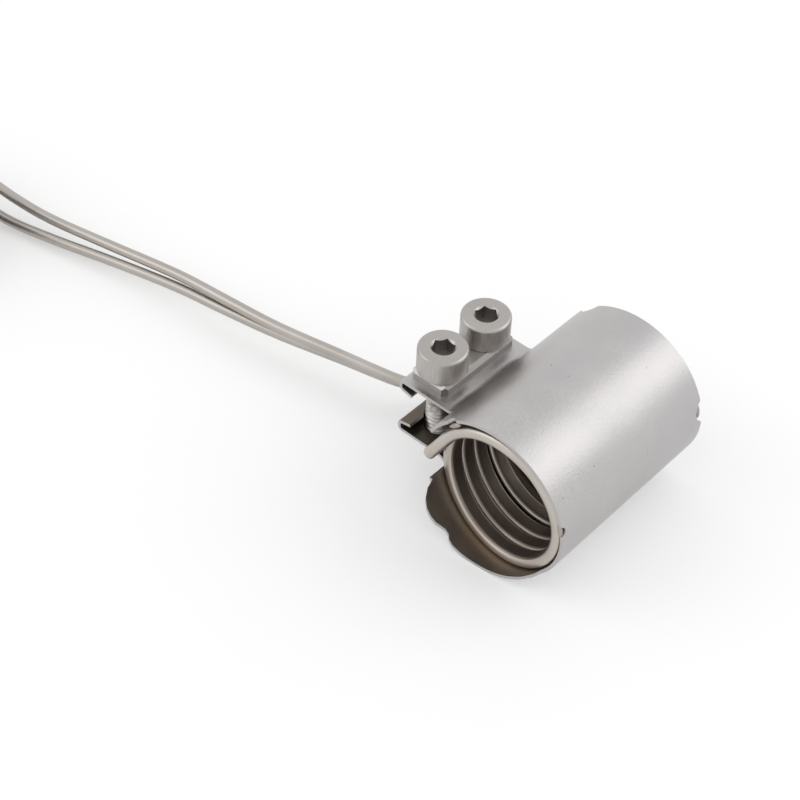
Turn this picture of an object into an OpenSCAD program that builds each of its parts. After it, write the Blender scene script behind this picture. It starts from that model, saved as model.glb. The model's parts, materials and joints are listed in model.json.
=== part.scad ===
// Coil heater for a hot runner nozzle: a flat-section heating element wound into a coil,
// held in a rolled sheet clamp that two socket head screws pull together.
// Frame: origin on the bore axis in the plane of the coil's front face, +Y along the bore
// to the rear, +Z along the clamp screws, the clamp ears on the -X side.
// The heater lies on its sheath, and its two metal sheathed leads run off towards -X.

/* [Coil] */
// Bore of the coil, the diameter of the nozzle that it heats
bore_d = 19; // [16:0.5:26]
// Length of the coil and of its sheath along the bore
body_l = 31; // [30:0.5:40]
// Width of the flat element along the bore
element_w = 2.5; // [2.2:0.1:2.7]
// Thickness of the flat element
element_t = 1.8; // [1.5:0.1:2.2]
// Gap between turns that lie close
turn_gap = 0.08; // [0.04:0.02:0.16]
// Close wound turns at the front
front_turns = 4; // [3:1:4]
// Close wound turns at the rear
rear_turns = 3; // [2:1:3]
// Open turns in the middle
open_turns = 2; // [1:1:2]
// Straight tail of the element at the front
front_tail = 6; // [4:0.5:8]
// Straight tail of the element at the rear
rear_tail = 6; // [5.5:0.5:6.5]

/* [Clamp sheath] */
// Thickness of the sheet
sheet_t = 0.5; // [0.4:0.1:0.7]
// Clearance between the coil and the sheath
coil_fit = 0.1; // [0.05:0.05:0.2]
// How much larger the sheath's radius is where it lies loose above the coil
loose_fit = 0.4; // [0.3:0.1:0.6]
// Height of the upper ear's outer face above the bore axis
upper_ear_z = 7; // [6.5:0.1:8]
// Depth of the lower ear's outer face below the bore axis
lower_ear_z = 2.9; // [2:0.1:4]
// Reach of the ears from the bore axis
ear_reach = 20.1; // [19:0.1:22]
// Front end of the ears
ear_front = 3.2; // [2.5:0.1:4]
// Length of the ears
ear_l = 17; // [16.6:0.1:18]
// Depth of the hooks folded at the ears' ends
hook_h = 2; // [1.5:0.1:2.5]
// Length of the lips folded back from the hooks
lip_l = 1.6; // [1:0.1:2]
// Outer bend radius where an ear leaves the sheath
ear_bend_r = 1.5; // [1:0.1:2]
// Reach of the front flap under the coil
front_flap = 2.6; // [1.5:0.1:3]
// Depth of the notches in the rear end of the sheath
notch_d = 1.2; // [0.8:0.1:1.6]

/* [Clamp hardware] */
// Width of the clamp plate and of the threaded bar
plate_w = 6.4; // [6:0.1:6.6]
// Length of the clamp plate and of the threaded bar
plate_l = 15; // [14.5:0.1:15.4]
// Thickness of the clamp plate and of the threaded bar
plate_t = 1.6; // [1.2:0.1:2]
// Distance of the screws from the bore axis
screw_x = 16.3; // [16.1:0.1:16.5]
// Distance between the two screws
screw_pitch = 9; // [8.6:0.1:9.2]
// Thread diameter of the screws
screw_d = 4; // [3:0.5:4]
// Head diameter
head_d = 7.2; // [6:0.1:7.2]
// Head height
head_h = 4; // [3:0.1:4]
// Width across the flats of the hexagon socket
socket_af = 3; // [2:0.5:3]
// Length of the screws under the head
screw_l = 14; // [14:0.5:16]
// Diametral clearance of the screws in the plate and the ears
hole_fit = 0.4; // [0.2:0.1:0.6]
// Diametral play of the screws in the threaded bar
thread_play = 0.1; // [0.04:0.02:0.16]

/* [Leads] */
// Diameter of each metal sheathed lead
lead_d = 1.7; // [1.7:0.1:1.7]
// Mean diameter of the put away coil of each lead
hank_d = 20.4; // [20:0.1:21]
// Width of that coil's bundle of turns
hank_w = 7; // [6.8:0.1:7.2]
// Height of that coil's bundle of turns
hank_h = 7; // [6.8:0.1:7.2]

/* [Hidden] */
$fn = 96;
eps = 0.01;

bore_r = bore_d / 2;
coil_r = bore_r + element_t / 2;
sheath_in = bore_r + element_t + coil_fit;
sheath_out = sheath_in + sheet_t;
floor_z = -sheath_out;

// Polar point in the bench plane
function at(r, a) = [r * cos(a), r * sin(a)];

// Centre of the sheath's loose part, which leaves the round part at loose_a a little outwards
loose_a = 30;
loose_tilt = 1.5;
loose_c = at(sheath_out, loose_a) - at(sheath_out + loose_fit, loose_a - loose_tilt);
// How far the loose part lies outside the round one at an angle
function loose_by(a) = a < loose_a ? 0 : loose_c * at(1, a) + loose_fit;

// Turns a shape drawn on the bench, with its axis along Z, so that the axis runs along +Y
module along_bore() {
    mirror([0, 1, 0]) rotate([90, 0, 0]) children();
}

// Part of a ring between two angles, under half a circle
module arc_band(r_in, r_out, a0, a1) {
    far = r_out * 2;
    mid = (a0 + a1) / 2;
    intersection() {
        difference() {
            circle(r_out);
            circle(r_in);
        }
        polygon([[0, 0], at(far, a0), at(far, (a0 + mid) / 2), at(far, mid),
                 at(far, (a1 + mid) / 2), at(far, a1)]);
    }
}

// Solid with one ring of points after another, closed by a flat face at each end
module skin(rings) {
    n = len(rings[0]);
    m = len(rings);
    sides = [for (i = [0:m - 2], j = [0:n - 1])
        for (f = [[i * n + j, i * n + (j + 1) % n, (i + 1) * n + j],
                  [i * n + (j + 1) % n, (i + 1) * n + (j + 1) % n, (i + 1) * n + j]]) f];
    start = [for (j = [n - 1:-1:0]) j];
    finish = [for (j = [0:n - 1]) (m - 1) * n + j];
    polyhedron([for (r = rings) each r], concat([start], sides, [finish]), convexity = 10);
}

// Flat element: a rounded section whose inner face may lie over inside the bore's wall
inner_corner = 0.4;
outer_corner = 0.7;
function section(s = 1, over = 0) =
    let(u = element_t / 2 * s, v = element_w / 2 * s, p = outer_corner * s, q = inner_corner * s,
        half = [[u, v - p], [u - 0.3 * p, v - 0.3 * p], [u - p, v],
                [-u + q, v], [-u + 0.3 * q, v - 0.3 * q], [-u - over, v - q - over]])
    concat(half, [for (k = [5:-1:0]) [half[k][0], -half[k][1]]]);

// Angle where the coil starts
start_a = 150;
// Every close turn lies level for half a turn, then steps over to the next
level_u = 0.5;
steps = 24;
close_pitch = element_w + turn_gap;
rear_start = front_turns + open_turns + 0.25;
coil_turns = rear_start + rear_turns + level_u;
front_y = element_w / 2;
rear_y = body_l - element_w / 2;
end_a = start_a - 360 * coil_turns;

// Rises gently from 0 to 1 as x runs from 0 to 1
function ease(x) = (1 - cos(180 * min(max(x, 0), 1))) / 2;
// Share of a turn's pitch that is climbed after t turns
function climb(t) = floor(t) + ease((t - floor(t) - level_u) / (1 - level_u));

// Place of the element's middle along the bore after t turns: the last close turn at the
// front stands off by last_gap
last_gap = 0.45;
function lay(t) =
    let(open_y = front_turns * close_pitch + last_gap,
        shut_y = body_l - element_w - rear_turns * close_pitch)
    front_y + (
        t < front_turns ? close_pitch * climb(t) + last_gap * ease((t - front_turns + 1) / 0.4) :
        t < rear_start ? open_y + (shut_y - open_y) * (t - front_turns) / (rear_start - front_turns) :
        shut_y + close_pitch * climb(t - rear_start));

// The bore cuts the close turns to a true cylinder, and the open turns lie clear of that cut
over_cut = 0.1;
clear_cut = bore_r / cos(180 / steps) - bore_r + 0.02;
function over(t) = t < front_turns || t > rear_start + 0.25 ? over_cut : -clear_cut;

// One ring of the element's section, after t turns from the start
function coil_ring(t) = let(a = start_a - 360 * t)
    [for (p = section(1, over(t))) [(coil_r + p[0]) * cos(a), (coil_r + p[0]) * sin(a), lay(t) + p[1]]];

// One ring of a tail that leaves the circle at angle a, d along its direction
function tail_ring(a, dir, d, y, s = 1) =
    [for (p = section(s)) [(coil_r + p[0]) * cos(a) + d * cos(a + dir),
                              (coil_r + p[0]) * sin(a) + d * sin(a + dir), y + p[1]]];

// The element, from its front tail round all turns to its rear tail
tail_start = 1.5;
module heater_coil() {
    color([0.52, 0.50, 0.48])
    along_bore()
    difference() {
        skin(concat(
            [for (d = [front_tail, tail_start]) tail_ring(start_a, 90, d, front_y)],
            [for (i = [0:round(steps * coil_turns)]) coil_ring(i / steps)],
            [for (d = [tail_start, rear_tail]) tail_ring(end_a, -90, d, rear_y)]));
        translate([0, 0, -1]) cylinder(r = bore_r, h = body_l + 2);
    }
}

// Blunt welded end of the element
cap_l = 0.8;
module element_end_cap() {
    color([0.62, 0.60, 0.57])
    along_bore()
        skin([for (k = [4:-1:0]) let(b = k * 20)
            tail_ring(start_a, 90, front_tail + cap_l * sin(b), front_y, 0.45 + 0.55 * cos(b))]);
}

// Bend between an ear whose outer face is at height z and the sheath, which has its centre
// at m and is larger by g there: the bend's centre, and its angle seen from m
function bend_c(z, m, g) =
    [m[0] - sqrt(pow(sheath_out + g + ear_bend_r, 2) - pow(z + ear_bend_r - m[1], 2)), z + ear_bend_r];
function bend_a(z, m, g) = let(c = bend_c(z, m, g)) 180 - atan((c[1] - m[1]) / (m[0] - c[0]));

// Points of an arc
function arc(c, r, a0, a1, n = 6) = [for (k = [0:n]) c + at(r, a0 + (a1 - a0) * k / n)];

// Ear with its bend, its hook and its lip, seen along the bore, folded downwards; its nose
// lies within the sheath's wall
hook_r = 0.8;
lip_slope = 12;
nose_a = 4;
down_a = 270;
module ear_outline(z, m, g) {
    c = bend_c(z, m, g);
    a = bend_a(z, m, g);
    top = [-ear_reach + hook_r, z - hook_r];
    low = [-ear_reach + hook_r, z - hook_h + hook_r];
    lip = at(lip_l, -lip_slope);
    hook_in = hook_r - sheet_t;
    polygon(concat(
        arc(c, ear_bend_r, a - 180 - 2, -90, 8),
        arc(top, hook_r, 90, 180),
        arc(low, hook_r, 180, down_a - lip_slope),
        [low + at(hook_r, -90 - lip_slope) + lip, low + at(hook_in, -90 - lip_slope) + lip],
        arc(low, hook_in, down_a - lip_slope, 180),
        arc(top, hook_in, 180, 90),
        arc(c, ear_bend_r + sheet_t, -90, a - 180 - 1, 8),
        [m + at(sheath_in + g + sheet_t / 2, a - nose_a)]));
}

// Sheath wall from an angle on its round part to an angle on its loose part
module wall(a0, a1) {
    lap = 2;
    mid = (a0 + loose_a) / 2;
    arc_band(sheath_in, sheath_out, a0, mid);
    arc_band(sheath_in, sheath_out, mid, loose_a + lap);
    translate(loose_c)
        arc_band(sheath_in + loose_fit, sheath_out + loose_fit, loose_a - loose_tilt - lap, a1);
}

// Angles where the coil is welded to the sheath, at its front and at its rear
front_welds = [130, 13];
rear_welds = [135, 12, -110];
collar_a = 155;
// Angle of the sheath that is cut back for the outlet, behind the lower ear
outlet_a = 35;
// Slits that free the ears from the collar in front of them and from the rear part
slit = 0.3;

// Wedge that is wide enough to cut the wall between two angles seen from m
module wedge(m, a0, a1) {
    far = sheath_out * 2;
    polygon([m, m + at(far, a0), m + at(far, a1)]);
}

// Round notches of some depth in an end of the sheath, with that end in the middle of dir
module end_notches(angles, y, r) {
    for (a = angles)
        rotate([0, 0, a])
            translate([0, 0, y])
                rotate([0, 90, 0])
                    cylinder(r = r, h = sheath_out * 2);
}

// Edge of the flap under the coil: angles on the sheath, and shares of the flap's reach
flap_edge = [[-158, 1], [-156, 0.2], [-152.5, -0.45], [-148, -0.78], [-142, -0.97], [-136, -1],
             [-130, -0.93], [-126, -0.78], [-122.5, -0.68], [-118.5, -0.72], [-116.5, -0.88],
             [-112, -0.98], [-105, -0.97], [-97, -0.92], [-88, -0.85], [-78, -0.78], [-68, -0.68],
             [-56, -0.5], [-45, -0.22], [-36, 0.2], [-32, 1]];
flap_a = -95;
module flap() {
    rotate([0, 0, flap_a])
        rotate([0, 90, 0])
            linear_extrude(sheath_out * 2)
                polygon([for (p = flap_edge) [-p[1] * front_flap, sheath_out * sin(p[0] - flap_a)]]);
}

module clamp_sheath() {
    upper_a = bend_a(upper_ear_z, loose_c, loose_fit);
    lower_a = -bend_a(lower_ear_z, [0, 0], 0);
    ear_rear = ear_front + ear_l;
    margin = 5;
    notch_r = 2;
    dent_r = 1;
    color([0.74, 0.73, 0.71])
    along_bore()
    difference() {
        union() {
            difference() {
                linear_extrude(body_l) wall(lower_a, collar_a);
                translate([0, 0, ear_front - slit]) linear_extrude(ear_l + 2 * slit)
                    wedge(loose_c, upper_a, collar_a + margin);
                translate([0, 0, ear_rear + slit]) linear_extrude(body_l)
                    wedge([0, 0], lower_a - margin, lower_a + outlet_a);
            }
            // Ears, drawn looking along the bore
            translate([0, 0, ear_front]) linear_extrude(ear_l) {
                ear_outline(upper_ear_z, loose_c, loose_fit);
                mirror([0, 1]) ear_outline(lower_ear_z, [0, 0], 0);
            }
            intersection() {
                translate([0, 0, -front_flap - 1]) linear_extrude(front_flap + 1 + eps)
                    wall(lower_a, 0);
                flap();
            }
        }
        screw_holes(screw_d + hole_fit);
        end_notches(front_welds, -dent_r / 3, dent_r);
        end_notches(rear_welds, body_l + notch_r - notch_d, notch_r);
    }
}

plate_y = ear_front + 1.4;
screw_y = [for (s = [-0.5, 0.5]) plate_y + plate_l / 2 + s * screw_pitch];

// Holes for both screws, in bench coordinates
module screw_holes(d) {
    for (y = screw_y)
        translate([-screw_x, 0, y])
            rotate([90, 0, 0])
                cylinder(d = d, h = 60, center = true);
}

// Plate with a chamfered edge all round one face and its corners cut, in bench coordinates
module clamp_bar(hole_d) {
    chamfer = 0.6;
    corner = 0.7;
    mid_y = plate_y + plate_l / 2;
    difference() {
        translate([-screw_x - plate_w / 2, 0, plate_y]) cube([plate_w, plate_t, plate_l]);
        screw_holes(hole_d);
        for (s = [-1, 1], e = [-1, 1])
            translate([-screw_x + s * plate_w / 2, plate_t / 2, mid_y + e * plate_l / 2])
                rotate([0, 45, 0]) cube([corner * sqrt(2), plate_t + 1, corner * sqrt(2)], center = true);
        for (s = [-1, 1])
            translate([-screw_x + s * plate_w / 2, plate_t, mid_y])
                rotate([0, 0, 45]) cube([chamfer * sqrt(2), chamfer * sqrt(2), plate_l + 1], center = true);
        for (e = [-1, 1])
            translate([-screw_x, plate_t, mid_y + e * plate_l / 2])
                rotate([45, 0, 0]) cube([plate_w + 1, chamfer * sqrt(2), chamfer * sqrt(2)], center = true);
    }
}

module upper_clamp_plate() {
    color([0.70, 0.68, 0.66])
    along_bore() translate([0, upper_ear_z, 0]) clamp_bar(screw_d + hole_fit);
}

module lower_threaded_bar() {
    color([0.68, 0.66, 0.64])
    along_bore() translate([0, -lower_ear_z, 0]) mirror([0, 1, 0]) clamp_bar(screw_d);
}

// Socket head cap screw, its seat at the origin
head_round = 0.5;
socket_depth = 2.2;
sink_h = 0.45;
module cap_screw(turn) {
    difference() {
        rotate_extrude() {
            polygon([[0, -screw_l], [screw_d / 2 - 0.5, -screw_l], [screw_d / 2 - thread_play / 2, -screw_l + 0.45],
                     [screw_d / 2 - thread_play / 2, 0], [head_d / 2, 0], [head_d / 2, head_h - head_round],
                     [head_d / 2 - head_round, head_h - head_round], [head_d / 2 - head_round, head_h], [0, head_h]]);
            intersection() {
                translate([head_d / 2 - head_round, head_h - head_round]) circle(head_round);
                translate([0, head_h - head_round]) square([head_d, head_round]);
            }
        }
        translate([0, 0, head_h - socket_depth])
            rotate([0, 0, turn]) cylinder(d = socket_af / cos(30), h = socket_depth + 1, $fn = 6);
        translate([0, 0, head_h - sink_h])
            cylinder(d1 = socket_af - 0.4, d2 = socket_af / cos(30) + 0.5, h = sink_h);
    }
}

seat_z = upper_ear_z + plate_t;
module front_clamp_screw() {
    color([0.66, 0.64, 0.61]) translate([-screw_x, screw_y[0], seat_z]) cap_screw(22);
}

module rear_clamp_screw() {
    color([0.66, 0.64, 0.61]) translate([-screw_x, screw_y[1], seat_z]) cap_screw(48);
}

// Small weld beads between the sheath's ends and the coil, in the notches. Where the sheath
// is loose they sit further out
weld_r = 0.7;
weld_stand = 0.25;
module welds(angles, y) {
    along_bore()
    for (a = angles)
        rotate([0, 0, a])
            translate([coil_r + element_t / 2 + loose_by(a) / 2, 0, y])
                sphere(weld_r, $fn = 24);
}

module front_tack_welds() {
    color([0.60, 0.56, 0.52]) welds(front_welds, weld_stand);
}

module rear_tack_welds() {
    color([0.60, 0.56, 0.52]) welds(rear_welds, body_l - weld_stand);
}

// Sleeve where the element's cold end meets the two leads
sleeve_x = [-10.3, -15.3];
sleeve_y = body_l - 2;
sleeve_z = -6.4;
sleeve_size = [5.2, 3.2];
module outlet_sleeve() {
    color([0.66, 0.65, 0.63])
    translate([sleeve_x[1], sleeve_y - sleeve_size[0] / 2, sleeve_z - sleeve_size[1] / 2])
        cube([sleeve_x[0] - sleeve_x[1], sleeve_size[0], sleeve_size[1]]);
}

// Centre of the coil that puts the leads away, and radius of its outer turns
hank_c = [-115, -15.5];
hank_outer = (hank_d + hank_w - lead_d) / 2;
// Routes of the leads, from the sleeve to the outer turn of the coil that puts each away
upper_route = [[sleeve_x[1], sleeve_y - 1, -6.2], [-18.2, 26.8, -6.2], [-20.4, 23.4, -6.1],
               [-21.8, 19.4, -5.9], [-23.6, 15.6, -5.7], [-27.2, 12.9, -5.6], [-32, 11.8, -5.8],
               [-38.4, 10.7, -6], [-49.8, 8.9, -6.6], [-60, 8.1, -7.1], [-70.4, 7.3, -7.6],
               [-84, 5.1, -8.3], [-96, 3, -8.6], [-103.6, 1.5, -7.4], [-109.9, -0.9, -3.9],
               [hank_c[0], hank_c[1] + hank_outer, -3.65]];
lower_route = [[sleeve_x[1], sleeve_y + 1, -6.6], [-18.9, 28.6, -6.9], [-21.6, 24.8, -7.1],
               [-23, 20.6, -7.2], [-24.8, 16.6, -7.2], [-28.4, 13.8, -7.2], [-33, 12.6, -7.4],
               [-38.4, 11.6, -7.7], [-49.8, 9.3, -8.4], [-60, 7.8, -8.9], [-69.8, 6.5, -9.3],
               [-82, 4, -9.9], [-94, 1.2, -10.5], [-103.2, -0.8, -10.4], [-109.2, -2.2, -8],
               [hank_c[0], hank_c[1] + hank_outer, -5.4]];

// Round tube swept along a route on a smooth curve
function spline(p, i, u) = let(a = p[max(i - 1, 0)], b = p[i], c = p[i + 1], d = p[min(i + 2, len(p) - 1)])
    0.5 * (2 * b + (c - a) * u + (2 * a - 5 * b + 4 * c - d) * u * u + (3 * b - a - 3 * c + d) * pow(u, 3));
function curve(p, n) = [for (i = [0:len(p) - 2], k = [0:n - 1]) spline(p, i, k / n), p[len(p) - 1]];
function unit(v) = v / norm(v);
function tube_ring(c, t, r) = let(s = unit(cross(t, [0, 0, 1])), w = cross(s, t))
    [for (k = [0:7]) c + r * (cos(k * 45) * s + sin(k * 45) * w)];
module lead_tube(route, n) {
    c = curve(route, n);
    m = len(c);
    skin([for (i = [0:m - 1])
        let(t = unit(c[min(i + 1, m - 1)] - c[max(i - 1, 0)])) tube_ring(c[i], t, lead_d / 2)]);
}

module upper_lead() {
    color([0.64, 0.62, 0.59]) lead_tube(upper_route, 3);
}

module lower_lead() {
    color([0.64, 0.62, 0.59]) lead_tube(lower_route, 3);
}

// Both leads are put away in one tied coil, the upper lead's turns on the lower lead's
tie_t = 0.4;
tie_a = 20;
hank_chamfer = 0.5;
hank_z = floor_z + tie_t;
hank_top = hank_z + 2 * hank_h;

// Cross-section of a bundle of turns, its bottom at height z, grown by g
module bundle(z, h, g = 0) {
    u = hank_w / 2 + g;
    c = hank_chamfer;
    translate([hank_d / 2, z])
        polygon([[-u + c, -g], [u - c, -g], [u, c - g], [u, h - c + g], [u - c, h + g],
                 [-u + c, h + g], [-u, h - c + g], [-u, c - g]]);
}

module along_x() {
    rotate([0, 90, 0]) children();
}

module hank(z) {
    translate([hank_c[0], hank_c[1], 0]) rotate_extrude() bundle(z, hank_h);
}

module upper_lead_coil() {
    color([0.64, 0.62, 0.59]) hank(hank_z + hank_h);
}

// The lower lead runs on from its last turn into its end sleeve
sleeve_bore = 2;
module lower_lead_coil() {
    color([0.64, 0.62, 0.59]) {
        hank(hank_z);
        translate([hank_c[0], lower_end[1], lower_end[2]])
            along_x() cylinder(d = lead_d, h = lower_end[0] - hank_c[0] + sleeve_bore - eps);
    }
}

// Strap round both bundles
module coil_tie(a) {
    color([0.22, 0.22, 0.23])
    translate([hank_c[0], hank_c[1], 0])
        rotate([0, 0, a - tie_a / 2])
            rotate_extrude(angle = tie_a)
                difference() {
                    bundle(hank_z, 2 * hank_h, tie_t);
                    bundle(hank_z, 2 * hank_h);
                }
}

left_tie_a = 160;
right_tie_a = 30;
module left_coil_tie() {
    coil_tie(left_tie_a);
}

module right_coil_tie() {
    coil_tie(right_tie_a);
}

// End of a lead: a crimped sleeve, two insulated conductors and their ferrules. The upper
// lead's end lies on the coil, and the lower lead's end on the floor beside it
end_d = 2.8;
end_l = 7;
wire_d = 1.1;
wire_gap = 1.3;
wire_l = 6;
wire_in = 1.5;
ferrule_l = 4;
upper_end = [hank_c[0] - 3.2, hank_c[1] - 10.3, hank_top + end_d / 2];
lower_end = [hank_c[0] + 7.7, hank_c[1] - hank_outer, floor_z + end_d / 2];
module end_sleeve() {
    along_x() difference() {
        cylinder(d = end_d, h = end_l);
        translate([0, 0, -eps]) cylinder(d = lead_d, h = sleeve_bore + eps);
        for (s = [-1, 1])
            translate([0, s * wire_gap / 2, end_l - wire_in]) cylinder(d = wire_d, h = wire_in + eps);
    }
}
module conductors() {
    for (s = [-1, 1])
        translate([end_l - wire_in, s * wire_gap / 2, 0]) along_x() cylinder(d = wire_d, h = wire_l + wire_in);
}
module ferrules() {
    for (s = [-1, 1])
        translate([end_l + wire_l, s * wire_gap / 2, 0]) along_x() {
            cylinder(d1 = wire_gap - 0.1, d2 = wire_d, h = 1.2);
            cylinder(d = wire_d - 0.3, h = ferrule_l);
        }
}

module upper_end_sleeve() {
    color([0.66, 0.65, 0.63]) translate(upper_end) end_sleeve();
}

module lower_end_sleeve() {
    color([0.66, 0.65, 0.63]) translate(lower_end) end_sleeve();
}

module upper_conductors() {
    color([0.80, 0.78, 0.72]) translate(upper_end) conductors();
}

module lower_conductors() {
    color([0.80, 0.78, 0.72]) translate(lower_end) conductors();
}

module upper_ferrules() {
    color([0.75, 0.75, 0.76]) translate(upper_end) ferrules();
}

module lower_ferrules() {
    color([0.75, 0.75, 0.76]) translate(lower_end) ferrules();
}

heater_coil();
element_end_cap();
clamp_sheath();
upper_clamp_plate();
lower_threaded_bar();
front_clamp_screw();
rear_clamp_screw();
front_tack_welds();
rear_tack_welds();
outlet_sleeve();
upper_lead();
lower_lead();
upper_lead_coil();
lower_lead_coil();
left_coil_tie();
right_coil_tie();
upper_end_sleeve();
lower_end_sleeve();
upper_conductors();
lower_conductors();
upper_ferrules();
lower_ferrules();
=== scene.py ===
"""Looks of a coil heater for a hot runner nozzle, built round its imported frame."""

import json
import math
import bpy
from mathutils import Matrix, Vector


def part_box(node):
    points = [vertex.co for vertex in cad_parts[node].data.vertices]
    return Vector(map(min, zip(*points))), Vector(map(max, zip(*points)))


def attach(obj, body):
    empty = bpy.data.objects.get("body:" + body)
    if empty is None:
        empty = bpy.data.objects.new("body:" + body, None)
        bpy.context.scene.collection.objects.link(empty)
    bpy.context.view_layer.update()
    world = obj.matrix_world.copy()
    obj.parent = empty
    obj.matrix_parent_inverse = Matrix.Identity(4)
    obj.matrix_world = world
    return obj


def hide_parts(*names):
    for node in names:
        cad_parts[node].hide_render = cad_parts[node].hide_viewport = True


bl_info = {
    "name": "Coil heater",
    "version": (1, 0, 0),
    "blender": (4, 5, 0),
    "location": "View3D > Sidebar > Coil heater",
    "description": "Builds the pieces, finishes and stage of a coil heater",
    "category": "Add Mesh",
}

import bpy
from mathutils import Matrix, Vector

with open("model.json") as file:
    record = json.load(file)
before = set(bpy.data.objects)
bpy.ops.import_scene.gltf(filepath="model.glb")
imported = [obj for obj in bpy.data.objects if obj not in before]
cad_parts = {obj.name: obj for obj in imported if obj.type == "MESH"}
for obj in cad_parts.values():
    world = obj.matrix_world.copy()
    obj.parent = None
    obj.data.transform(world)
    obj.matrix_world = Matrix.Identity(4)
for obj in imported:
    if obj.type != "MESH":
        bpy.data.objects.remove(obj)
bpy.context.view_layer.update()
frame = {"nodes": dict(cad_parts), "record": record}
MM = 0.001
MERGE_DISTANCE = 0.002 * MM
CUT_TOLERANCE = 0.0001 * MM
COPLANAR_DEGREES = 0.4
LARGE_FACE_WEIGHT = 60
SPECK_TONE = 0.25
FLOOR_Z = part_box("clamp_sheath")[0].z
SCENE = bpy.context.scene


# Sizes and colours


def length(name, text, default, low=0.0, high=100.0):
    """A size in millimetres."""
    return bpy.props.FloatProperty(name=name, description=text, default=default, min=low, max=high)


def colour(name, text, default):
    """A colour, as it is written."""
    return bpy.props.FloatVectorProperty(
        name=name, description=text, default=default, subtype="COLOR", size=3, min=0.0, max=1.0
    )


class HeaterSizes(bpy.types.PropertyGroup):
    """Sizes of the pieces, in millimetres"""

    bore_radius: length("Bore radius", "Radius of the coil's bore", 9.5)
    body_length: length("Body length", "Length of the coil along the bore", 31.0)
    element_width: length("Element width", "Width of the element along the bore", 2.5)
    element_thickness: length("Element thickness", "Thickness of the element", 1.8)
    turn_gap: length("Turn gap", "Gap between close turns", 0.08)
    last_gap: length("Last gap", "Extra gap before the last close turn at the front", 0.45)
    front_turns: bpy.props.IntProperty(
        name="Front turns", description="Close turns at the front", default=4, min=1
    )
    open_turns: length("Open turns", "Turns in the open middle", 2.25)
    rear_turns: bpy.props.IntProperty(
        name="Rear turns", description="Close turns at the rear", default=3, min=1
    )
    front_tail: length("Front tail", "Straight tail at the front", 6.0)
    rear_tail: length("Rear tail", "Straight tail at the rear", 6.0)
    cap_length: length("Cap length", "Length of the element's blunt end", 0.8)
    screw_diameter: length("Screw diameter", "Diameter of the screws' thread", 3.9)
    screw_length: length("Screw length", "Length of the screws under the head", 14.0)
    thread_pitch: length("Thread pitch", "Pitch of the screws' thread", 0.7)
    thread_depth: length("Thread depth", "Depth of the screws' thread", 0.42)
    head_diameter: length("Head diameter", "Diameter of the screws' heads", 7.2)
    head_height: length("Head height", "Height of the screws' heads", 4.0)
    head_rounding: length("Head rounding", "Rounding of the heads' upper rims", 0.5)
    socket_width: length("Socket width", "Width across the flats of the sockets", 3.0)
    socket_depth: length("Socket depth", "Depth of the hexagon sockets", 2.2)
    lead_diameter: length("Lead diameter", "Diameter of each lead", 1.7)
    lead_pitch: length("Lead pitch", "Distance between the turns of a put away lead", 1.7667)


class HeaterColours(bpy.types.PropertyGroup):
    """Colours of the finishes"""

    sheath: colour("Sheath", "Satin sheet", (0.50, 0.487, 0.478))
    # Heat tint, with painted shade: the sheath's inward faces are painted darker than its outside.
    sheath_inside: colour("Sheath inside", "Heat tint and painted shade inside the sheath", (0.26, 0.235, 0.21))
    # Painted shade: a dark colour for the faces under the upper ear, on the lower ear and inside
    # the hooks.
    ear_painted_shade: colour("Ear painted shade", "Painted shade between the ears", (0.12, 0.105, 0.09))
    heat: colour("Heat", "Brown heat tint", (0.36, 0.25, 0.16))
    element: colour("Element", "Element's jacket", (0.56, 0.52, 0.475))
    # Oxide, with painted shade: the element's faces towards the bore are painted darker than the
    # rest.
    element_bore: colour("Element bore", "Element's darker bore face", (0.25, 0.216, 0.192))
    hardware: colour("Hardware", "Plate and bar", (0.47, 0.455, 0.44))
    screws: colour("Screws", "Clamp screws", (0.42, 0.40, 0.382))
    leads: colour("Leads", "Metal sheathed leads", (0.46, 0.435, 0.405))
    ties: colour("Ties", "Straps round the put away leads", (0.02, 0.02, 0.022))
    wires: colour("Wires", "Glass fibre sleeving of the conductors", (0.62, 0.58, 0.49))
    welds: colour("Welds", "Tack welds", (0.36, 0.335, 0.31))
    ferrules: colour("Ferrules", "Tinned ferrules", (0.6, 0.6, 0.61))
    floor: colour("Floor", "Studio floor", (0.95, 0.95, 0.95))


# Small steps that every piece takes


def pick(*pieces):
    """Selects these pieces alone and makes the first one active."""
    if bpy.context.object is not None and bpy.context.object.mode != "OBJECT":
        bpy.ops.object.mode_set(mode="OBJECT")
    bpy.ops.object.select_all(action="DESELECT")
    for piece in pieces:
        piece.select_set(True)
    bpy.context.view_layer.objects.active = pieces[0]


def edit(piece, kind="VERT"):
    """Opens a piece for editing, with nothing selected."""
    pick(piece)
    bpy.ops.object.mode_set(mode="EDIT")
    bpy.ops.mesh.select_mode(type=kind)
    bpy.ops.mesh.select_all(action="DESELECT")


def close_edit():
    """Ends the editing of a piece."""
    bpy.ops.object.mode_set(mode="OBJECT")


def apply_place(piece):
    """Moves a piece's place and turn into its mesh."""
    pick(piece)
    bpy.ops.object.transform_apply(location=True, rotation=True, scale=True)


def add_modifier(piece, kind, **values):
    """Adds a modifier and applies it."""
    made = piece.modifiers.new(kind.title(), kind)
    for key, value in values.items():
        setattr(made, key, value)
    pick(piece)
    bpy.ops.object.modifier_apply(modifier=made.name)


def smooth(piece, angle=50.0):
    """Smooth shading that keeps sharp corners and leaves flat faces flat."""
    pick(piece)
    bpy.ops.object.shade_smooth_by_angle(angle=math.radians(angle))
    add_modifier(piece, "WEIGHTED_NORMAL", keep_sharp=True, weight=LARGE_FACE_WEIGHT)


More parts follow.
